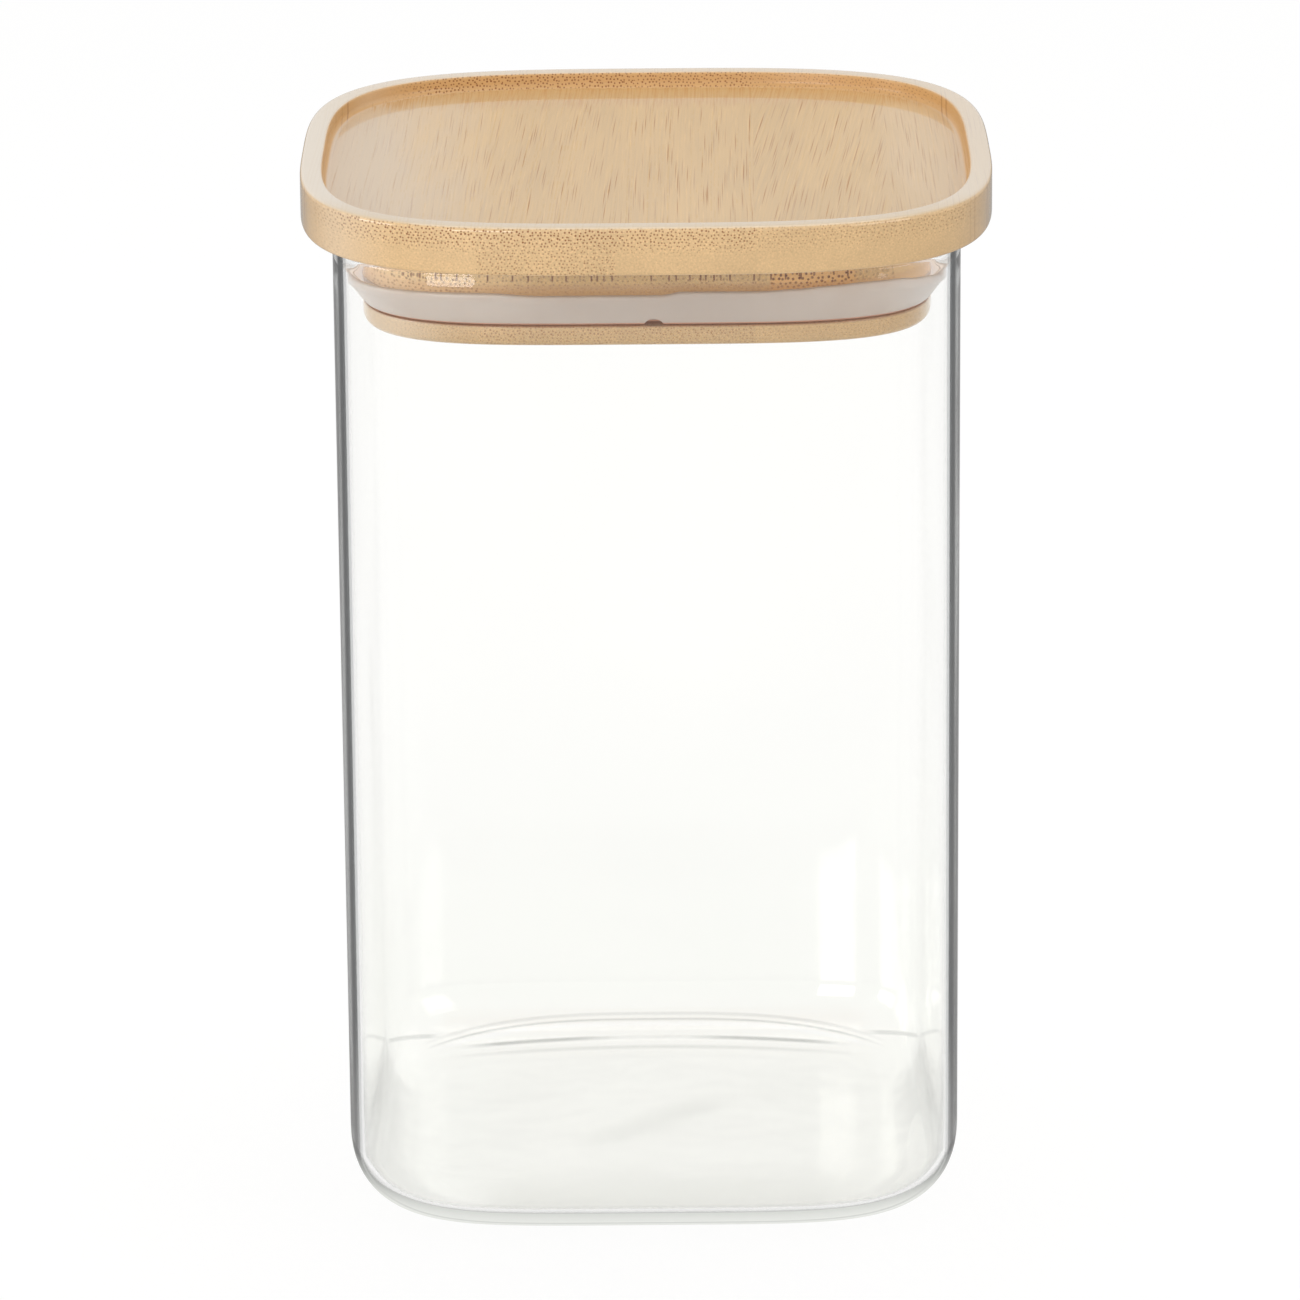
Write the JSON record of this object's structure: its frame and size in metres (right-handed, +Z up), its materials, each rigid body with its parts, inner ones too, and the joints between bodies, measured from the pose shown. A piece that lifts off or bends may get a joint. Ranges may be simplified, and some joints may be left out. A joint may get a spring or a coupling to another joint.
{
  "type": "storage jar",
  "caption": "Square clear glass storage jar with rounded corners and a lift-off bamboo lid, hollowed on top into a shallow stacking tray, with a silicone lip seal on its plug.",
  "frame": {"origin": "centre of the underside of the glass, on the surface it stands on", "axes": "+Z up along the jar's axis; +X and +Y square to the glass's sides; the bamboo's fibres run front to back, along Y, and -Y is the front"},
  "size_m": [0.105, 0.105, 0.1619],
  "materials": {
    "clear_glass": "gloss, clear",
    "bamboo_board": "satin varnish, end grain front and back",
    "bamboo_upper_ply": "satin",
    "bamboo_lower_ply": "satin",
    "silicone": "satin, translucent"
  },
  "bodies": {
    "jar": {"glass_jar": "clear_glass"},
    "lid": {"lid_board": "bamboo_board", "lid_plug_upper_ply": "bamboo_upper_ply", "lid_plug_lower_ply": "bamboo_lower_ply", "lid_seal": "silicone"}
  },
  "joints": [
    {"name": "lid_lift", "type": "slide", "parent": "jar", "child": "lid", "axis": [0, 0, 1], "range_m": [0, 0.08]}
  ]
}
